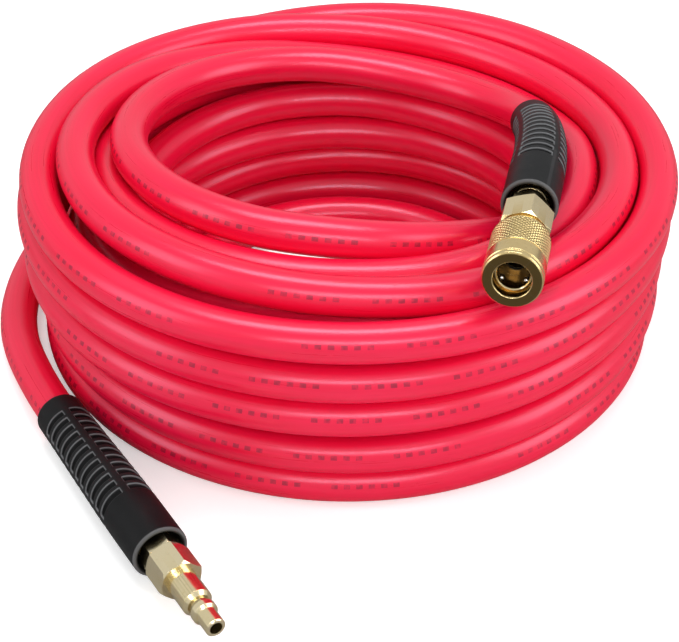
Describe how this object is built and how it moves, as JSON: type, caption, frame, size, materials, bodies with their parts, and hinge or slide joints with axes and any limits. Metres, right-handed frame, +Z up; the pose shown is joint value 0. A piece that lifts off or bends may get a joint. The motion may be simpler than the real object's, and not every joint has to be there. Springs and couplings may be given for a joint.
{
  "type": "coiled air hose",
  "caption": "Rubber compressed-air hose laid in a coil, with slotted bend restrictors, a brass quick coupler on the upper end and a brass plug on the lower end.",
  "frame": {"origin": "centre of the footprint on the ground plane", "axes": "+Z is up along the coil axis, the coupler and the plug both point towards -Y"},
  "size_m": [0.2918, 0.3555, 0.121],
  "materials": {
    "hose_rubber": "satin, lightly glossy red cover",
    "braid_textile": "woven textile yarn",
    "inner_rubber": "black nitrile rubber",
    "grip_rubber": "moulded matt black rubber",
    "fitting_brass": "bright turned brass",
    "sleeve_brass": "knurled and turned brass",
    "ball_steel": "polished hardened steel",
    "spring_steel": "stainless spring wire",
    "seal_rubber": "black nitrile O-ring"
  },
  "bodies": {
    "hose_assembly": {"hose_cover": "hose_rubber", "hose_braid": "braid_textile", "hose_inner_tube": "inner_rubber", "coupler_end_bend_restrictor": "grip_rubber", "plug_end_bend_restrictor": "grip_rubber", "coupler_end_ferrule": "fitting_brass", "plug_end_ferrule": "fitting_brass", "coupler_end_stem": "fitting_brass", "plug_end_stem": "fitting_brass", "coupler_back_body": "fitting_brass", "coupler_body": "fitting_brass", "air_plug": "fitting_brass", "valve_spring": "spring_steel", "body_seal": "seal_rubber", "socket_seal": "seal_rubber"},
    "coupler_sleeve": {"coupler_sleeve": "sleeve_brass", "sleeve_retaining_ring": "spring_steel"},
    "sleeve_spring": {"sleeve_spring": "spring_steel"},
    "check_valve": {"check_valve": "fitting_brass", "valve_seal": "seal_rubber"},
    "locking_ball_1": {"locking_ball_1": "ball_steel"},
    "locking_ball_2": {"locking_ball_2": "ball_steel"},
    "locking_ball_3": {"locking_ball_3": "ball_steel"},
    "locking_ball_4": {"locking_ball_4": "ball_steel"}
  },
  "joints": [
    {"name": "sleeve_spin", "type": "hinge", "parent": "hose_assembly", "child": "sleeve_spring", "pos_m": [0.06891, -0.08193, 0.10807], "axis": [-0.1862, -0.977, 0.1038], "continuous": true},
    {"name": "sleeve_slide", "type": "slide", "parent": "sleeve_spring", "child": "coupler_sleeve", "axis": [0.1862, 0.977, -0.1038], "range_m": [0, 0.0035], "deforming": ["sleeve_spring"]},
    {"name": "valve_slide", "type": "slide", "parent": "hose_assembly", "child": "check_valve", "axis": [0.1862, 0.977, -0.1038], "range_m": [0, 0.0035], "deforming": ["valve_spring"]},
    {"name": "ball_1_lift", "type": "slide", "parent": "hose_assembly", "child": "locking_ball_1", "axis": [0.7083, -0.0603, 0.7033], "range_m": [0, 0.00105]},
    {"name": "ball_2_lift", "type": "slide", "parent": "hose_assembly", "child": "locking_ball_2", "axis": [-0.6809, 0.2045, 0.7033], "range_m": [0, 0.00105]},
    {"name": "ball_3_lift", "type": "slide", "parent": "hose_assembly", "child": "locking_ball_3", "axis": [-0.7083, 0.0603, -0.7033], "range_m": [0, 0.00105]},
    {"name": "ball_4_lift", "type": "slide", "parent": "hose_assembly", "child": "locking_ball_4", "axis": [0.6809, -0.2045, -0.7033], "range_m": [0, 0.00105]}
  ],
  "couplings": [
    {"joint": "ball_1_lift", "follows": "sleeve_slide", "ratio": 0.3},
    {"joint": "ball_2_lift", "follows": "sleeve_slide", "ratio": 0.3},
    {"joint": "ball_3_lift", "follows": "sleeve_slide", "ratio": 0.3},
    {"joint": "ball_4_lift", "follows": "sleeve_slide", "ratio": 0.3}
  ]
}
